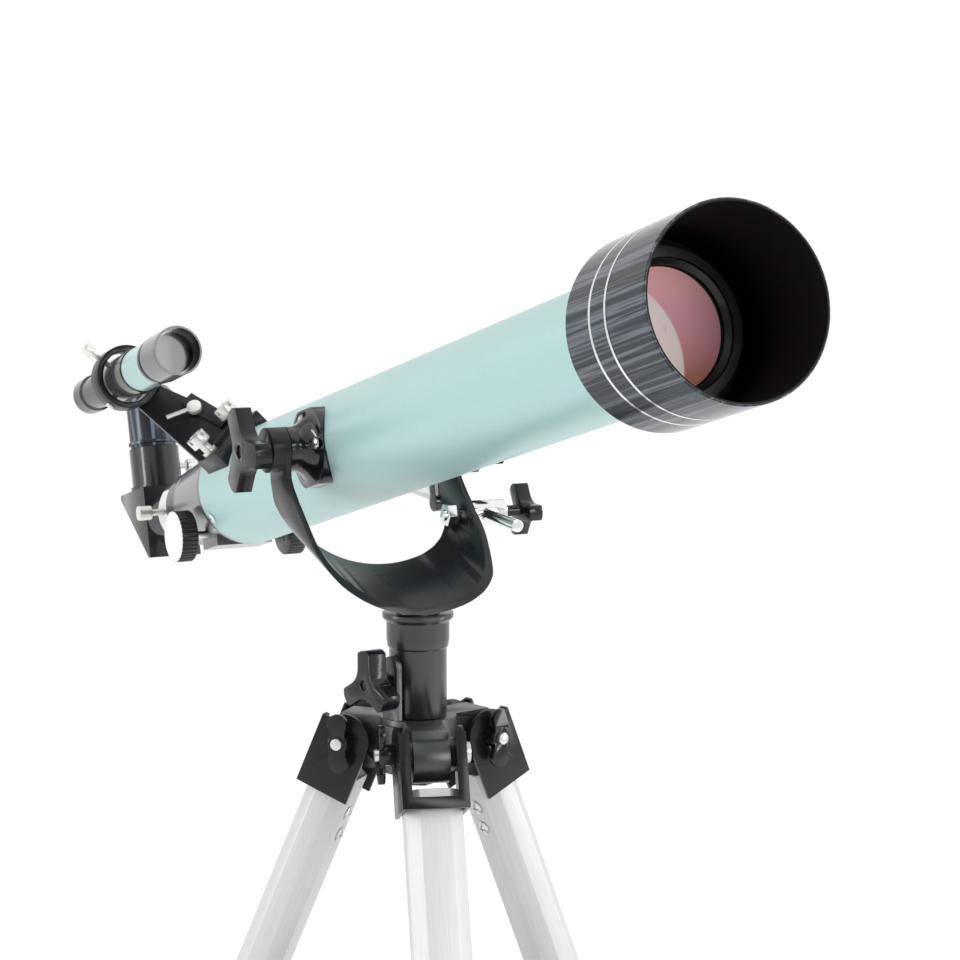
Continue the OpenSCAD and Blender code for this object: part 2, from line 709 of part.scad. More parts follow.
module diagonal_body() {
    half = diag_w / 2;
    top = diag_leg / 2 - 1;
    color("#1a1c1f") on_tube() difference() {
        union() {
            slab_xz(0, diag_w) polygon([
                [diag_front, top], [diag_front, top - diag_leg],
                [diag_front - 3, top - diag_leg], [diag_front - diag_leg, top - 3], [diag_front - diag_leg, top]
            ]);
            along_x(diag_front) cylinder(r = 15.8, h = 62);
            translate([diag_front - half - 3.5, 0, top]) cylinder(r = 15.4, h = 26);
            translate([diag_front - half - 3.5, 0, top]) cylinder(r = 16.6, h = 2);
        }
        along_x(diag_front - 12) cylinder(r = 13.4, h = 80);
        translate([diag_front - half - 3.5, 0, top - 14]) cylinder(r = 13.4, h = 16);
        translate([diag_front - half - 3.5, 0, top + 1]) cylinder(r = 13.9, h = 30);
        translate([diag_front - half - 3.5, 0, top + 14]) along_y(12) cylinder(r = 2 + fit, h = 10);
    }
}

module diagonal_screw() {
    half = diag_w / 2;
    color("#dedfe0") on_tube() translate([diag_front - half - 3.5, 0, diag_leg / 2 + 13])
        along_y(14.2) thumb_screw(2, 6, 4, 6);
}

module eyepiece() {
    half = diag_w / 2;
    top = diag_leg / 2 - 1;
    seat = top + 26 + gap;
    color("#1e2024") on_tube() translate([diag_front - half - 3.5, 0, 0]) difference() {
        rotate_extrude() polygon([
            [0, top + 3], [13.84, top + 3], [13.84, seat], [14.2, seat], [14.2, seat + 1.4], [15.4, seat + 2],
            [15.4, seat + 3.6], [14.4, seat + 4.2], [14.4, seat + 26], [15.2, seat + 28], [15.2, seat + 34],
            [12, seat + 38], [0, seat + 38]
        ]);
        translate([0, 0, seat + 33]) cylinder(r = 9, h = 10);
        translate([0, 0, top]) cylinder(r = 12, h = 14);
    }
}

// ---------------------------------------------------------------- finder

// Frame of the finder bracket's leaning strip: X off its face, Z up along it.
module on_strip() {
    on_finder() translate([finder_foot_rear, 0, finder_foot_top - 2]) rotate([0, -strip_lean, 0]) children();
}

module finder_bracket() {
    foot_w = 36;
    foot_len = 32;
    foot_t = 12;
    strip_root = foot_w / 2 - 0.5;
    screw_x = finder_ring_x + finder_ring_len / 2;
    color("#1b1c1f") difference() {
        union() {
            on_finder() along_x(finder_ring_x) cylinder(r = finder_ring_r, h = finder_ring_len);
            on_finder() translate([finder_foot_rear, -foot_w / 2, finder_foot_top - foot_t])
                cube([foot_len, foot_w, foot_t]);
            on_strip() rotate([90, 0, 90]) linear_extrude(strip_sheet)
                polygon([[-strip_root, -1.6], [strip_root, -1.6], [10.5, 54], [-8, 54]]);
            on_strip() translate([strip_sheet - 1, lever_y - 1.5, 4]) cube([3, 9, 30]);
        }
        on_finder() along_x(finder_ring_x - 20) cylinder(r = finder_ring_r - 3.4, h = 60);
        on_finder() translate([0, 0, -finder_rise]) along_x(finder_foot_rear - 50) cylinder(r = tube_r, h = 120, $fn = 120);
        for (a = [8, 104, 236]) on_finder() translate([screw_x, 0, 0]) rotate([a, 0, 0])
            translate([0, 0, finder_ring_r - 5]) cylinder(r = 1.6, h = 10);
        on_strip() translate([-1, lever_y, lever_up]) along_x() cylinder(r = 1.5, h = 8);
    }
}

// Two thumb nuts on the bracket's foot, a screw with a lever on its strip, and two
// thumbscrews and a plunger round its ring.
module finder_screws() {
    screw_x = finder_ring_x + finder_ring_len / 2;
    pad = strip_sheet + 2;
    color("#d9d9d8") {
        for (a = [8, 236]) on_finder() translate([screw_x, 0, 0]) rotate([a, 0, 0])
            translate([0, 0, 12.75]) thumb_screw(1.6, 11.2, 3.6, 6);
        on_finder() translate([screw_x, 0, 0]) rotate([104, 0, 0]) translate([0, 0, 12.75]) thumb_screw(1.6, 5.9, 2.4, 1.2);
        for (y = [-12.2, 12.2]) on_finder() translate([-145, y, finder_foot_top]) {
            cylinder(r = 4.4, h = 2.2, $fn = 40);
            cylinder(r = 3, h = 8, $fn = 40);
            difference() {
                translate([0, 0, 7]) cylinder(r = 6, h = 6.5, $fn = 40);
                for (a = [20, 110]) rotate([0, 0, a]) translate([-7, -1, 10.5]) cube([14, 2, 4]);
            }
        }
        on_strip() translate([pad, lever_y, lever_up]) {
            along_x() cylinder(r = 4.2, h = 3, $fn = 40);
            along_x(-pad) cylinder(r = 1.5, h = pad + 1);
            translate([1.6, 0, 0]) rotate([58, 0, 0]) cylinder(r = 1.3, h = 17, $fn = 24);
        }
    }
}

module finder_tube() {
    mouth = -100;
    color("#8a8c8f") on_finder() along_x(mouth) difference() {
        rotate_extrude($fn = 80) polygon([
            [0, -117], [9.5, -117], [9.5, -113], [10.6, -112], [10.6, -104], [12.75, -102], [12.75, -71.4],
            [13.4, -71], [13.4, -62.4], [12.75, -62], [12.75, -32.4], [13.5, -32], [13.5, -29], [12.9, -28.4],
            [12.9, -25.6], [14, -25], [14, 0], [12.9, 0], [12.9, -8], [0, -8]
        ]);
        translate([0, 0, -12]) cylinder(r = 11.5, h = 16);
    }
}

module finder_eyepiece() {
    mouth = -99;
    color("#151618") on_finder() along_x(mouth - 158) difference() {
        rotate_extrude($fn = 64) polygon([
            [0, 0], [11, 0], [11, 12], [10, 14], [10, 26], [10.8, 27], [10.8, 38], [9.7, 39.6], [0, 39.6]
        ]);
        translate([0, 0, -1]) cylinder(r = 6, h = 4);
    }
}

// ---------------------------------------------------------------- output

tripod_head();
azimuth_knob();
yoke_post();
yoke();
leg_bracket(1);  // leg_bracket_1
upper_leg(1);  // upper_leg_1
leg_fasteners(1);  // leg_fasteners_1
wing_nut(1);  // wing_nut_1
leg_clamp(1);  // leg_clamp_1
clamp_screw(1);  // clamp_screw_1
lower_leg(1);  // lower_leg_1
foot(1);  // foot_1
brace(1);  // brace_1
leg_bracket(2);  // leg_bracket_2
upper_leg(2);  // upper_leg_2
leg_fasteners(2);  // leg_fasteners_2
wing_nut(2);  // wing_nut_2
leg_clamp(2);  // leg_clamp_2
clamp_screw(2);  // clamp_screw_2
lower_leg(2);  // lower_leg_2
foot(2);  // foot_2
brace(2);  // brace_2
leg_bracket(3);  // leg_bracket_3
upper_leg(3);  // upper_leg_3
leg_fasteners(3);  // leg_fasteners_3
wing_nut(3);  // wing_nut_3
leg_clamp(3);  // leg_clamp_3
clamp_screw(3);  // clamp_screw_3
lower_leg(3);  // lower_leg_3
foot(3);  // foot_3
brace(3);  // brace_3
brace_hub();
tray();
tray_nut();
rod_swivel();
rod();
rod_knob();
altitude_knob_left();
altitude_knob_right();
saddle_left();
saddle_right();
main_tube();
tube_screws();
objective_cell();
objective_lens();
dew_shield();
shield_bands();
focuser_body();
focus_shaft();
focus_knob_left();
focus_knob_right();
drawtube();
drawtube_screw();
diagonal_body();
diagonal_screw();
eyepiece();
finder_bracket();
finder_screws();
finder_tube();
finder_eyepiece();
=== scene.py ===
import json
import math

import bmesh
import bpy
from mathutils import Matrix, Vector


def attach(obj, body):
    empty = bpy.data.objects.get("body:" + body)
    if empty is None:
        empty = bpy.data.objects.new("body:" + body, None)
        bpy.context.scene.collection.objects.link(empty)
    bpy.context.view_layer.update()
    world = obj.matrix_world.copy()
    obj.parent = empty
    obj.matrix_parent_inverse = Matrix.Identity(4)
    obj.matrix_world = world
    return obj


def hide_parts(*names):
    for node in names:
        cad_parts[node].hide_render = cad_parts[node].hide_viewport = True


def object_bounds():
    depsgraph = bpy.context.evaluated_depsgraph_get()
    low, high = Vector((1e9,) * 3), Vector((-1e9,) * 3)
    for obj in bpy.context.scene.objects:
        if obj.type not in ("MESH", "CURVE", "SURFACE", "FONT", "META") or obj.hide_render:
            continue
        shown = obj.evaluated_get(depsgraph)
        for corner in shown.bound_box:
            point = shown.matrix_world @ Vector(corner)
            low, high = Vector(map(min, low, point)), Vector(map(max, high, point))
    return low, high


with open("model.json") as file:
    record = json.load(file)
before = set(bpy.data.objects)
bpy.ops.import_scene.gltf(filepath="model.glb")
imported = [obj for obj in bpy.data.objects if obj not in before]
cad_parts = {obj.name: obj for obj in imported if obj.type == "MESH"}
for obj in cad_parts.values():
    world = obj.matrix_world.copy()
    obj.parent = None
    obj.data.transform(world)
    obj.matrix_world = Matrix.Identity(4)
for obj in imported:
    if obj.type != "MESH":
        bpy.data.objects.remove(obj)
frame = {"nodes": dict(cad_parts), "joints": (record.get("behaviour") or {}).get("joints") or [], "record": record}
cad_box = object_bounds()

JOINTS = {j["name"]: j for j in frame["joints"]}
BODY = {n: b for b, ns in frame["record"]["behaviour"]["bodies"].items() for n in ns}
MM = 0.001
Y, Z = Vector((0, 1, 0)), Vector((0, 0, 1))
SHARP = math.radians(32)        # edges steeper than this stay sharp

# ------------------------------------------------------------------ places read from the frame

PIVOT = Vector(JOINTS["altitude"]["pos_m"])
AIM = -Vector(JOINTS["focus_travel"]["axis"]).normalized()      # along the tube, forwards
LIFT = AIM.cross(Y).normalized()                                # square to the tube, upwards
FINDER = Vector(JOINTS["finder_focus_turn"]["pos_m"])


def corners(node):
    return [v.co.copy() for v in frame["nodes"][node].data.vertices]


def span(node, origin, axis):
    """Lowest and highest place of a CAD node along an axis through origin."""
    d = [(p - origin).dot(axis) for p in corners(node)]
    return min(d), max(d)


def radius(node, origin, axis):
    """Greatest distance of a CAD node from an axis through origin."""
    return max(((p - origin) - (p - origin).dot(axis) * axis).length for p in corners(node))


# ------------------------------------------------------------------ materials

class Net:
    """A material's node tree, with short ways to add and join nodes."""

    def __init__(self, name):
        self.mat = bpy.data.materials.new(name)
        self.mat.use_nodes = True
        self.tree = self.mat.node_tree
        self.tree.nodes.clear()
        self.out = self.add("ShaderNodeOutputMaterial")
        self.bsdf = self.add("ShaderNodeBsdfPrincipled")
        self.join(self.bsdf.outputs[0], self.out.inputs["Surface"])
        self.here = self.add("ShaderNodeTexCoord").outputs["Object"]

    def add(self, kind, **props):
        n = self.tree.nodes.new(kind)
        for k, v in props.items():
            setattr(n, k, v)
        return n

    def join(self, a, b):
        self.tree.links.new(a, b)

    def feed(self, socket, value):
        if isinstance(value, bpy.types.NodeSocket):
            self.join(value, socket)
        else:
            socket.default_value = value

    def calc(self, operation, a, b=0.0, c=0.0):
        n = self.add("ShaderNodeMath", operation=operation)
        for socket, value in zip(n.inputs, (a, b, c)):
            self.feed(socket, value)
        return n.outputs[0]

    def along(self, axis, origin=Vector()):
        """Distance along an axis from origin, in metres."""
        n = self.add("ShaderNodeVectorMath", operation="DOT_PRODUCT")
        self.join(self.here, n.inputs[0])
        n.inputs[1].default_value = axis
        return self.calc("SUBTRACT", n.outputs["Value"], origin.dot(axis))

    def off_axis(self, axis, origin):
        """Distance from an axis through origin, in metres."""
        side = axis.orthogonal().normalized()
        a = self.along(side, origin)
        b = self.along(axis.cross(side), origin)
        return self.length(a, b)

    def length(self, a, b):
        """Length of a flat vector whose parts are a and b."""
        return self.calc("SQRT", self.calc("ADD", self.calc("MULTIPLY", a, a), self.calc("MULTIPLY", b, b)))

    def grid(self, axis, stretch):
        """Coordinates stretched along an axis, for brushed or drawn metal."""
        side = axis.orthogonal().normalized()
        n = self.add("ShaderNodeCombineXYZ")
        self.join(self.along(side), n.inputs[0])
        self.join(self.along(axis.cross(side)), n.inputs[1])
        self.join(self.calc("MULTIPLY", self.along(axis), stretch), n.inputs[2])
        return n.outputs[0]

    def noise(self, scale, detail=3.0, coords=None, rough=0.5):
        n = self.add("ShaderNodeTexNoise")
        n.inputs["Scale"].default_value = scale
        n.inputs["Detail"].default_value = detail
        n.inputs["Roughness"].default_value = rough
        self.join(coords or self.here, n.inputs["Vector"])
        return n.outputs["Fac"]

    def ramp(self, fac, stops, hard=False):
        n = self.add("ShaderNodeValToRGB")
        n.color_ramp.interpolation = "CONSTANT" if hard else "LINEAR"
        e = n.color_ramp.elements
        while len(e) < len(stops):
            e.new(0.5)
        for el, (place, colour) in zip(e, stops):
            el.position = place
        for el, (place, colour) in zip(e, stops):
            el.color = (*colour, 1) if len(colour) == 3 else colour
        self.join(fac, n.inputs[0])
        return n.outputs[0]

    def remap(self, value, low, high, to_low, to_high):
        n = self.add("ShaderNodeMapRange")
        for socket, v in zip(n.inputs, (value, low, high, to_low, to_high)):
            self.feed(socket, v)
        return n.outputs[0]

    def mix(self, fac, a, b):
        n = self.add("ShaderNodeMix", data_type="RGBA")
        self.feed(n.inputs[0], fac)
        for socket, v in ((n.inputs[6], a), (n.inputs[7], b)):
            self.feed(socket, (*v, 1) if isinstance(v, tuple) and len(v) == 3 else v)
        return n.outputs[2]

    def shade(self, colour, by):
        """A colour multiplied by another."""
        n = self.add("ShaderNodeMix", data_type="RGBA", blend_type="MULTIPLY")
        n.inputs[0].default_value = 1.0
        self.join(colour, n.inputs[6])
        self.join(by, n.inputs[7])
        return n.outputs[2]

    def bump(self, height, strength, distance):
        n = self.add("ShaderNodeBump")
        n.inputs["Strength"].default_value = strength
        n.inputs["Distance"].default_value = distance
        self.join(height, n.inputs["Height"])
        return n.outputs[0]


def tint(colour, k):
    return tuple(min(1.0, c * k) for c in colour)


def finish(name, colour, rough, metal=0.0, coat=0.0, coat_rough=0.05, specular=0.5, vary=0.08,
           scale=45.0, rough_vary=0.05, bump=0.0, bump_scale=900.0, bump_depth=0.0002, drawn=None):
    """A painted, moulded or drawn surface: colour and gloss that wander a little, and a fine bump."""
    net = Net(name)
    coords = net.grid(drawn, 0.03) if drawn else None
    grain = net.noise(scale if not drawn else 1400.0, 4.0, coords)
    net.join(net.ramp(grain, [(0.3, tint(colour, 1 - vary)), (0.7, tint(colour, 1 + vary))]),
             net.bsdf.inputs["Base Color"])
    worn = net.noise(scale * 0.45, 5.0, coords)
    gloss = net.remap(worn, 0.3, 0.7, max(0.02, rough - rough_vary), rough + rough_vary)
    net.join(gloss, net.bsdf.inputs["Roughness"])
    net.bsdf.inputs["Metallic"].default_value = metal
    net.bsdf.inputs["Coat Weight"].default_value = coat
    net.bsdf.inputs["Coat Roughness"].default_value = coat_rough
    net.bsdf.inputs["Specular IOR Level"].default_value = specular
    if bump:
        fine = net.noise(bump_scale, 2.0, coords)
        net.join(net.bump(fine, bump, bump_depth), net.bsdf.inputs["Normal"])
    return net


MINT = (0.33, 0.5, 0.495)

mats = {}


def make(name, *args, **kw):
    mats[name] = finish(name, *args, **kw).mat


make("mount_black", (0.008, 0.0085, 0.011), 0.3, specular=0.3, coat=0.08, coat_rough=0.2, vary=0.25,
     bump=0.16, bump_scale=700)
make("head_black", (0.016, 0.0175, 0.02), 0.36, specular=0.75, vary=0.25, bump=0.28, bump_scale=520)
make("post_black", (0.009, 0.0095, 0.012), 0.3, specular=0.62, coat=0.15, coat_rough=0.15, vary=0.25,
     bump=0.2, bump_scale=700)
make("knob_black", (0.006, 0.0065, 0.009), 0.2, specular=0.3, coat=0.12, coat_rough=0.08, vary=0.2, bump=0.04)
make("saddle_black", (0.005, 0.0055, 0.008), 0.14, specular=0.42, coat=0.3, coat_rough=0.05, vary=0.2,
     bump=0.03)
make("trim_black", (0.007, 0.0075, 0.009), 0.28, specular=0.4, vary=0.2, bump=0.08)
make("bracket_black", (0.007, 0.008, 0.01), 0.3, specular=0.24, coat=0.06, coat_rough=0.2, vary=0.25,
     bump=0.12)
make("diagonal_black", (0.007, 0.0075, 0.01), 0.2, specular=0.42, coat=0.35, coat_rough=0.1, vary=0.2,
     bump=0.05)
make("clamp_plastic", (0.016, 0.016, 0.018), 0.46, specular=0.36, vary=0.2, bump=0.35, bump_scale=1100)
make("spreader_plastic", (0.015, 0.015, 0.017), 0.48, specular=0.36, vary=0.2, bump=0.35, bump_scale=1000)
make("foot_rubber", (0.012, 0.012, 0.012), 0.72, specular=0.3, vary=0.25, bump=0.5, bump_scale=1300)
make("chrome_steel", (0.7, 0.71, 0.73), 0.13, metal=1.0, vary=0.06, rough_vary=0.05)
make("satin_steel", (0.6, 0.61, 0.62), 0.28, metal=1.0, vary=0.07, rough_vary=0.08)
make("nut_white", (0.66, 0.65, 0.62), 0.3, metal=0.55, vary=0.07, coat=0.3)
make("bolt_steel", (0.56, 0.56, 0.56), 0.3, metal=0.85, vary=0.1, bump=0.08)


# Focus knobs: black ribbed rims, each with a white disc on its outer face.
FOCUS = Vector(JOINTS["focus_turn"]["pos_m"])
DISC_DEPTH = 1.02 * MM           # the white disc lies this far or less behind the knob's outer face
disc_at = span("focus_knob_right", FOCUS, Y)[1] - DISC_DEPTH
net = Net("focus_black")
face = net.calc("GREATER_THAN", net.calc("ABSOLUTE", net.along(Y, FOCUS)), disc_at)
rim = net.ramp(net.noise(60.0), [(0.3, (0.006, 0.0065, 0.008)), (0.7, (0.012, 0.0125, 0.014))])
disc = net.ramp(net.noise(160.0), [(0.3, (0.8, 0.8, 0.79)), (0.7, (0.88, 0.88, 0.87))])
net.join(net.mix(face, rim, disc), net.bsdf.inputs["Base Color"])
net.join(net.remap(face, 0.0, 1.0, 0.26, 0.42), net.bsdf.inputs["Roughness"])
mats["focus_black"] = net.mat


def leg_metal(name, colour, axis, rough=0.48):
    net = finish(name, colour, rough, metal=0.3, vary=0.05, rough_vary=0.08, drawn=axis, bump=0.06,
                 bump_scale=1500, bump_depth=0.0001)
    mats[name] = net.mat


def paint(name, base, flake=0.16, metal=0.25, rough=0.44):
    """Metallic lacquer: fine bright flakes under a clear coat."""
    net = Net(name)
    fine = net.noise(5200.0, 1.0)
    cloud = net.noise(9.0, 3.0)
    body = net.ramp(fine, [(0.35, tint(base, 1 - flake)), (0.55, base), (0.72, tint(base, 1 + 2.2 * flake))])
    soft = net.ramp(cloud, [(0.3, (0.955, 0.965, 0.965)), (0.7, (1, 1, 1))])
    net.join(net.shade(body, soft), net.bsdf.inputs["Base Color"])
    net.join(net.remap(fine, 0.3, 0.7, rough - 0.04, rough + 0.06), net.bsdf.inputs["Roughness"])
    net.bsdf.inputs["Metallic"].default_value = metal
    net.bsdf.inputs["Coat Weight"].default_value = 0.22
    net.bsdf.inputs["Coat Roughness"].default_value = 0.22
    net.join(net.bump(fine, 0.05, 0.0001), net.bsdf.inputs["Normal"])
    return net


mats["tube_paint"] = paint("tube_paint", MINT).mat


def banded(name, axis, origin, stops):
    """Bands along an axis: (start in metres, colour, roughness, metallic) for each, from the rear."""
    net = Net(name)
    place = net.along(axis, origin)
    first, last = stops[0][0] - 0.001, stops[-1][0] + 0.05
    fac = net.remap(place, first, last, 0.0, 1.0)
    at = [max(0.0, (s[0] - first) / (last - first)) for s in stops]
    colour = net.ramp(fac, [(a, s[1]) for a, s in zip(at, stops)], hard=True)
    rough = net.ramp(fac, [(a, (s[2],) * 3) for a, s in zip(at, stops)], hard=True)
    metal = net.ramp(fac, [(a, (s[3],) * 3) for a, s in zip(at, stops)], hard=True)
    fine = net.noise(2600.0, 2.0)
    speckle = net.ramp(fine, [(0.35, (0.9, 0.9, 0.9)), (0.65, (1, 1, 1))])
    net.join(net.shade(colour, speckle), net.bsdf.inputs["Base Color"])
    net.join(rough, net.bsdf.inputs["Roughness"])
    net.join(metal, net.bsdf.inputs["Metallic"])
    net.bsdf.inputs["Coat Weight"].default_value = 0.35
    net.bsdf.inputs["Coat Roughness"].default_value = 0.1
    return net


# ------------------------------------------------------------------ pieces

def dress(obj, material):
    obj.data.materials.clear()
    obj.data.materials.append(mats[material] if isinstance(material, str) else material)


def add_piece(name, mesh, body, material, replaces=()):
    obj = bpy.data.objects.new(name, mesh)
    bpy.context.scene.collection.objects.link(obj)
    dress(obj, material)
    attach(obj, body)
    if replaces:
        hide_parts(*replaces)
    return obj


def smooth(mesh):
    mesh.shade_smooth()
    mesh.set_sharp_from_angle(angle=SHARP)


WELD = 2e-6                     # vertices closer than this are one, in metres
FLAT = math.radians(0.6)        # faces that turn less than this are one face
ROUNDED = math.radians(34)      # edges steeper than this are rounded
ROUND_STEPS = 2


def soften(node, width, material):
    """A copy of a CAD node with its edges rounded by width, standing for the node."""
    bm = bmesh.new()
    bm.from_mesh(frame["nodes"][node].data)
    bmesh.ops.remove_doubles(bm, verts=bm.verts, dist=WELD)
    bmesh.ops.dissolve_limit(bm, angle_limit=FLAT, verts=bm.verts, edges=bm.edges, delimit={"NORMAL"})
    raw = bpy.data.meshes.new(node + "_raw")
    bm.to_mesh(raw)
    bm.free()
    obj = bpy.data.objects.new(node + "_soft", raw)
    bpy.context.scene.collection.objects.link(obj)
    bevel = obj.modifiers.new("edges", "BEVEL")
    bevel.width = width
    bevel.segments = ROUND_STEPS
    bevel.limit_method = "ANGLE"
    bevel.angle_limit = ROUNDED
    bevel.use_clamp_overlap = True
    deps = bpy.context.evaluated_depsgraph_get()
    mesh = bpy.data.meshes.new_from_object(obj.evaluated_get(deps))
    bpy.data.objects.remove(obj)
    bpy.data.meshes.remove(raw)
    smooth(mesh)
    return add_piece(node + "_piece", mesh, BODY[node], material, (node,))


for obj in frame["nodes"].values():
    smooth(obj.data)

DRESS = {
    "tripod_head": "head_black", "azimuth_knob": "knob_black",
    "yoke_post": "post_black", "yoke": "mount_black",
    "brace_hub": "spreader_plastic", "tray": "spreader_plastic", "tray_nut": "knob_black",
    "rod_swivel": "chrome_steel", "rod": "chrome_steel", "rod_knob": "knob_black",
    "altitude_knob_left": "knob_black", "altitude_knob_right": "knob_black",
    "saddle_left": "saddle_black", "saddle_right": "saddle_black", "main_tube": "tube_paint",
    "tube_screws": "satin_steel", "objective_cell": "trim_black", "shield_bands": "chrome_steel",
    "focus_shaft": "satin_steel", "focus_knob_left": "focus_black", "focus_knob_right": "focus_black",
    "drawtube": "chrome_steel", "drawtube_screw": "nut_white", "diagonal_body": "diagonal_black",
    "diagonal_screw": "nut_white", "eyepiece": "diagonal_black", "finder_bracket": "bracket_black",
    "finder_screws": "nut_white", "finder_eyepiece": "diagonal_black",
}
for i in (1, 2, 3):
    DRESS.update({f"leg_bracket_{i}": "bracket_black", f"leg_fasteners_{i}": "bolt_steel",
                  f"wing_nut_{i}": "knob_black", f"leg_clamp_{i}": "clamp_plastic",
                  f"clamp_screw_{i}": "knob_black", f"foot_{i}": "foot_rubber",
                  f"brace_{i}": "spreader_plastic"})
    axis = Vector(JOINTS[f"leg_{i}_extend"]["axis"])
    leg_metal(f"leg_metal_{i}", (0.52, 0.518, 0.53), axis)
    leg_metal(f"inner_metal_{i}", (0.46, 0.46, 0.468), axis, 0.5)
    DRESS[f"upper_leg_{i}"] = f"leg_metal_{i}"
    DRESS[f"lower_leg_{i}"] = f"inner_metal_{i}"
for node, material in DRESS.items():
    dress(frame["nodes"][node], material)

# Millimetres rounded off the edges of each copied node.
SOFT = {
    "tripod_head": 1.2, "azimuth_knob": 1.4, "yoke": 0.7, "yoke_post": 0.5, "rod_knob": 1.4,
    "altitude_knob_left": 1.5, "altitude_knob_right": 1.5, "saddle_left": 1.2, "saddle_right": 1.2,
    "finder_bracket": 0.5, "diagonal_body": 0.6, "eyepiece": 0.4, "rod_swivel": 0.6, "rod": 0.5,
    "finder_screws": 0.4, "drawtube_screw": 0.5, "diagonal_screw": 0.5, "brace_hub": 0.5, "tray": 0.6,
    "tray_nut": 0.6, "focus_knob_left": 0.3, "focus_knob_right": 0.3,
}
for i in (1, 2, 3):
    SOFT.update({f"leg_bracket_{i}": 0.7, f"wing_nut_{i}": 1.0, f"leg_clamp_{i}": 1.0,
                 f"clamp_screw_{i}": 1.0, f"upper_leg_{i}": 0.5, f"lower_leg_{i}": 0.4, f"foot_{i}": 1.0,
                 f"leg_fasteners_{i}": 0.4, f"brace_{i}": 0.5})
made = {}
for node, width in SOFT.items():
    made[node] = soften(node, width * MM, DRESS[node])

# ------------------------------------------------------------------ special surfaces

# Dew shield: gloss with painted reflection streaks along its length on the outer face, matt black inside.
SHIELD_SKIN = 0.8 * MM           # how far in from the outermost surface the gloss reaches
shield_out = radius("dew_shield", PIVOT, AIM)
net = Net("shield_black")
far = net.off_axis(AIM, PIVOT)
inner = net.calc("LESS_THAN", far, shield_out - SHIELD_SKIN)
# Painted reflections: pale and dark streaks along the shield's length, put into its base colour.
reflection_streak_noise = net.noise(46.0, 6.0, net.grid(AIM, 0.012), 0.68)
outer_painted_reflections = net.ramp(reflection_streak_noise, [(0.34, (0.003, 0.004, 0.006)), (0.42, (0.05, 0.062, 0.082)),
                            (0.455, (0.006, 0.008, 0.011)), (0.5, (0.028, 0.036, 0.048)),
                            (0.53, (0.12, 0.135, 0.16)), (0.56, (0.008, 0.01, 0.014)),
                            (0.62, (0.07, 0.074, 0.082)), (0.68, (0.2, 0.195, 0.195))])
net.join(net.mix(inner, outer_painted_reflections, (0.0035, 0.0035, 0.004)), net.bsdf.inputs["Base Color"])
net.join(net.remap(inner, 0.0, 1.0, 0.14, 0.6), net.bsdf.inputs["Roughness"])
net.bsdf.inputs["Specular IOR Level"].default_value = 0.16
mats["shield_black"] = net.mat
dress(frame["nodes"]["dew_shield"], "shield_black")

# Objective: pink anti-reflection coating with painted light on it: a painted reflection makes it paler inside a
# ring whose centre lies down and to one side, and painted shade darkens it to brown towards the bottom while
# painted light pales it towards the top.
RING_SIDE, RING_DROP = 42 * MM, 17.5 * MM
RING_IN, RING_OUT = 48.5 * MM, 49.5 * MM
LENS_REACH = 30 * MM             # the painted shade and light on the coating spread this far above and below the axis
net = Net("coated_glass")
lens_near = net.along(Y, PIVOT)
lens_up = net.along(LIFT, PIVOT)
shift = net.calc("ADD", lens_near, RING_SIDE)
rise = net.calc("ADD", lens_up, RING_DROP)
ring = net.length(shift, rise)
# Painted reflection: the coating turns pale grey-pink inside a circle set down and to one side.
painted_reflection_crescent = net.remap(ring, RING_IN, RING_OUT, 1.0, 0.0)
# Painted shade and light: brown towards the bottom of the lens, pale salmon towards the top.
painted_light_height = net.remap(lens_up, -LENS_REACH, LENS_REACH, 0.0, 1.0)
rose_with_painted_shade = net.ramp(painted_light_height, [(0.0, (0.34, 0.12, 0.06)), (0.14, (0.36, 0.15, 0.11)), (0.34, (0.46, 0.2, 0.22)),
                       (0.65, (0.56, 0.27, 0.32)), (1.0, (0.8, 0.42, 0.4))])
net.join(net.mix(painted_reflection_crescent, rose_with_painted_shade, (0.66, 0.56, 0.54)), net.bsdf.inputs["Base Color"])
net.join(net.remap(net.noise(60.0), 0.3, 0.7, 0.2, 0.28), net.bsdf.inputs["Roughness"])
net.bsdf.inputs["Specular IOR Level"].default_value = 0.12
mats["coated_glass"] = net.mat
dress(frame["nodes"]["objective_lens"], "coated_glass")

# Focuser: silver-grey cone with a black collar behind it.
foc_lo = span("focuser_body", PIVOT, AIM)[0]
COLLAR = 17 * MM
mats["focuser_grey"] = banded("focuser_grey", AIM, PIVOT, [
    (foc_lo, (0.013, 0.0135, 0.015), 0.28, 0.0), (foc_lo + COLLAR, (0.17, 0.172, 0.18), 0.26, 0.75)]).mat
dress(frame["nodes"]["focuser_body"], "focuser_grey")

# Eyepiece barrel: black, with soft blue-grey painted reflections running down its length.
net = Net("eyepiece_black_painted_reflections")
down = net.noise(95.0, 4.0, net.grid(LIFT, 0.04), 0.55)
# Painted reflections: blue-grey bands along the barrel, put into its base colour.
barrel_painted_reflections = net.ramp(down, [(0.36, (0.005, 0.006, 0.008)), (0.5, (0.018, 0.024, 0.032)),
                          (0.55, (0.13, 0.165, 0.2)), (0.61, (0.03, 0.038, 0.048)),
                          (0.7, (0.006, 0.007, 0.009))])
net.join(barrel_painted_reflections, net.bsdf.inputs["Base Color"])
net.join(net.remap(net.noise(60.0), 0.3, 0.7, 0.2, 0.3), net.bsdf.inputs["Roughness"])
net.bsdf.inputs["Specular IOR Level"].default_value = 0.3
mats["eyepiece_black_painted_reflections"] = net.mat
dress(made["eyepiece"], "eyepiece_black_painted_reflections")

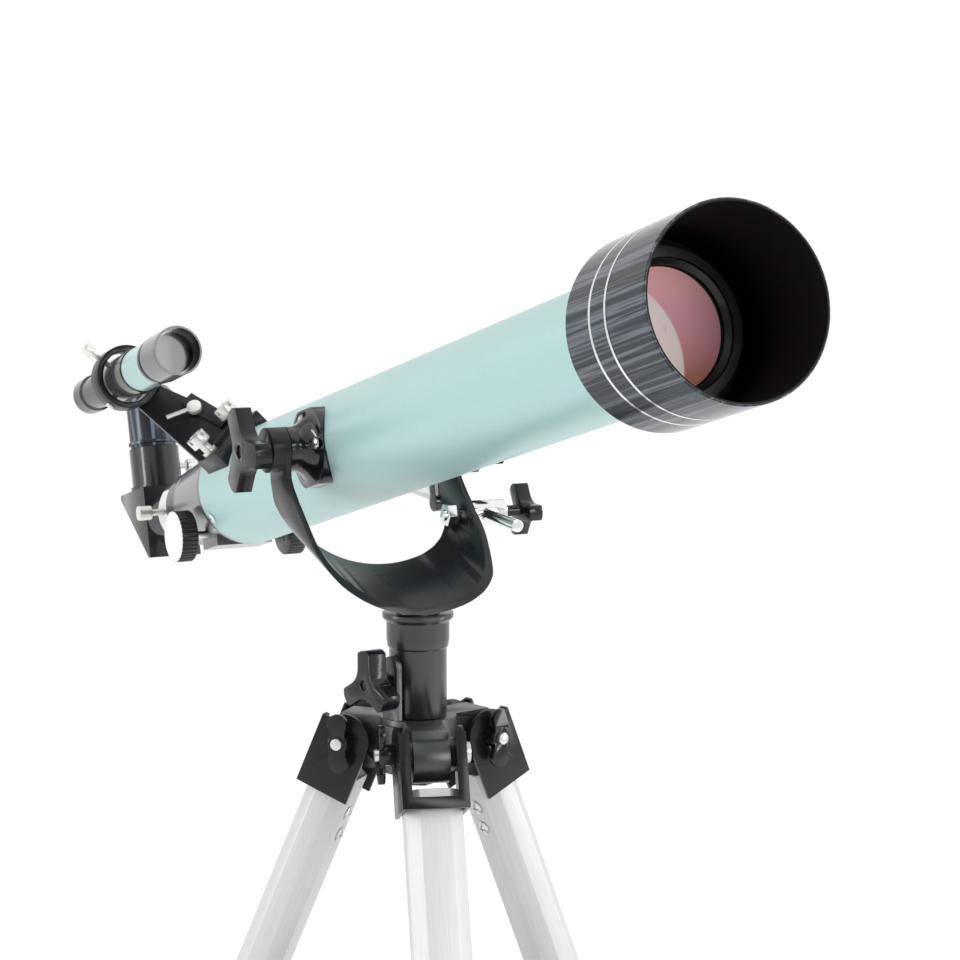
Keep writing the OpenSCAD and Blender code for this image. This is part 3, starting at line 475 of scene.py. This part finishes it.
# Finder: mint and grey lengths between black rings, counted back from its mouth, with a painted pale-to-dark sheen
# on the glass set back inside it.
CORE = 11.8 * MM                 # nearer the axis than this is the bore, the glass or the thin rear
GLASS_BACK = 11.8 * MM           # the glass starts this far behind the mouth
SHEEN_REACH = 11.5 * MM
fin_lo, fin_hi = span("finder_tube", FINDER, AIM)
GREY, DARK = (0.16, 0.16, 0.168), (0.007, 0.0075, 0.009)
net = banded("finder_paint", AIM, FINDER, [
    (fin_lo, GREY, 0.22, 0.8), (fin_hi - 0.109, MINT, 0.3, 0.35), (fin_hi - 0.101, GREY, 0.22, 0.8),
    (fin_hi - 0.071, DARK, 0.15, 0.0), (fin_hi - 0.062, MINT, 0.3, 0.35), (fin_hi - 0.032, DARK, 0.12, 0.0),
    (fin_hi - 0.0254, GREY, 0.2, 0.8), (fin_hi - 0.0018, DARK, 0.2, 0.0)])
core = net.calc("LESS_THAN", net.off_axis(AIM, FINDER), CORE)
back = net.calc("LESS_THAN", net.along(AIM, FINDER), fin_hi - GLASS_BACK)
glass = net.calc("MULTIPLY", core, back)
# Painted reflection on the glass: pale on one side, dark on the other.
sheen = net.ramp(net.remap(net.along(Y, FINDER), -SHEEN_REACH, SHEEN_REACH, 0.0, 1.0),
                 [(0.0, (0.2, 0.2, 0.21)), (0.42, (0.13, 0.135, 0.145)), (0.56, (0.035, 0.037, 0.04)),
                  (1.0, (0.008, 0.008, 0.009))])
painted = net.bsdf.inputs["Base Color"].links[0].from_socket
walls = net.mix(core, painted, DARK)
net.join(net.mix(glass, walls, sheen), net.bsdf.inputs["Base Color"])
shiny = net.bsdf.inputs["Metallic"].links[0].from_socket
net.join(net.mix(core, shiny, (0.0, 0.0, 0.0)), net.bsdf.inputs["Metallic"])
mats["finder_paint"] = net.mat
dress(frame["nodes"]["finder_tube"], "finder_paint")


# ------------------------------------------------------------------ stage, light and camera

def plane(name, size, place):
    mesh = bpy.data.meshes.new(name)
    h = size / 2
    mesh.from_pydata([(-h, -h, 0), (h, -h, 0), (h, h, 0), (-h, h, 0)], [], [(0, 1, 2, 3)])
    obj = bpy.data.objects.new(name, mesh)
    obj.location = place
    bpy.context.scene.collection.objects.link(obj)
    return obj


FLOOR_SIZE = 90.0                # metres, so that its edge is never seen
FLOOR_GAP = 0.5 * MM             # below the feet
net = Net("stage_white")
white = net.ramp(net.noise(1.5), [(0.3, (0.9, 0.9, 0.9)), (0.7, (0.92, 0.92, 0.92))])
net.join(white, net.bsdf.inputs["Base Color"])
net.bsdf.inputs["Roughness"].default_value = 0.9
net.bsdf.inputs["Specular IOR Level"].default_value = 0.1
floor = plane("floor", FLOOR_SIZE, (0, 0, cad_box[0].z - FLOOR_GAP))
floor.data.materials.append(net.mat)

# A white studio that dims above and towards the camera's side, so that dark gloss stays dark.
world = bpy.data.worlds.new("studio")
bpy.context.scene.world = world
world.use_nodes = True
sky = world.node_tree
background = sky.nodes["Background"]
toward = sky.nodes.new("ShaderNodeTexCoord")


def sky_dot(direction, low, high, to_low, to_high):
    """Brightness that goes from to_low to to_high as the view nears a direction."""
    d = sky.nodes.new("ShaderNodeVectorMath")
    d.operation = "DOT_PRODUCT"
    sky.links.new(toward.outputs["Generated"], d.inputs[0])
    d.inputs[1].default_value = direction
    m = sky.nodes.new("ShaderNodeMapRange")
    m.interpolation_type = "SMOOTHSTEP"
    sky.links.new(d.outputs["Value"], m.inputs[0])
    for socket, v in zip(m.inputs[1:5], (low, high, to_low, to_high)):
        socket.default_value = v
    return m.outputs[0]


dark_side = sky_dot(Vector((0.85, -0.40, 0.34)).normalized(), 0.45, 0.95, 1.0, 0.16)
above = sky_dot(Z, 0.12, 0.6, 1.12, 0.62)
horizon = sky_dot(Z, 0.03, 0.12, 1.0, 0.0)


def sky_math(operation, a, b):
    n = sky.nodes.new("ShaderNodeMath")
    n.operation = operation
    sky.links.new(a, n.inputs[0])
    sky.links.new(b, n.inputs[1])
    return n.outputs[0]


strength = sky_math("MULTIPLY", sky_math("MAXIMUM", dark_side, horizon), above)
sky.links.new(strength, background.inputs["Strength"])
background.inputs["Color"].default_value = (1.0, 0.998, 0.994, 1)


def sun(name, toward_light, strength, angle):
    """Soft light from a direction; angle is how wide the source looks, in degrees."""
    data = bpy.data.lights.new(name, "SUN")
    data.energy = strength
    data.angle = math.radians(angle)
    obj = bpy.data.objects.new(name, data)
    obj.rotation_mode = "QUATERNION"
    obj.rotation_quaternion = Vector(toward_light).to_track_quat("Z", "Y")
    bpy.context.scene.collection.objects.link(obj)


def light(name, place, target, size, power, size_y=None):
    """A soft panel at place, turned to target; size and size_y in metres, power in watts."""
    data = bpy.data.lights.new(name, "AREA")
    data.shape = "RECTANGLE"
    data.size, data.size_y = size, size_y or size
    data.energy = power
    obj = bpy.data.objects.new(name, data)
    obj.location = place
    obj.rotation_mode = "QUATERNION"
    obj.rotation_quaternion = (target - place).to_track_quat("-Z", "Y")
    bpy.context.scene.collection.objects.link(obj)


sun("key_sun", (0.11, -0.93, 1.07), 1.25, 85.0)
sun("fill_sun", (0.0, 0.7, 1.1), 0.9, 85.0)
mouth = PIVOT + AIM * span("dew_shield", PIVOT, AIM)[1]
light("front", mouth + Vector((1.3, 0.35, 0.45)), mouth, 0.8, 14.0)
light("strip_left", PIVOT + Vector((-0.3, -1.5, 0.35)), PIVOT, 0.18, 9.0, 1.3)
light("strip_right", PIVOT + Vector((0.9, 1.3, 0.2)), PIVOT, 0.2, 7.0, 1.2)

# The camera's own axes and its place, in the object's frame.
RIGHT, UP = Vector((0.4278, 0.9039, 0.0)), Vector((-0.1235, 0.0584, 0.9906))
BACK = Vector((0.8954, -0.4238, 0.1366))
EYE = (1.55896, -0.70214, 0.89311)
camera = bpy.data.cameras.new("camera")
camera.sensor_width, camera.lens = 36.0, 125.44
camera.clip_start, camera.clip_end = 0.05, 200.0
eye = bpy.data.objects.new("camera", camera)
turn = Matrix((RIGHT, UP, BACK)).transposed()
eye.rotation_mode = "QUATERNION"
eye.rotation_quaternion = turn.to_quaternion()
eye.location = EYE
bpy.context.scene.collection.objects.link(eye)
bpy.context.scene.camera = eye
bpy.context.scene.view_settings.view_transform = "Standard"
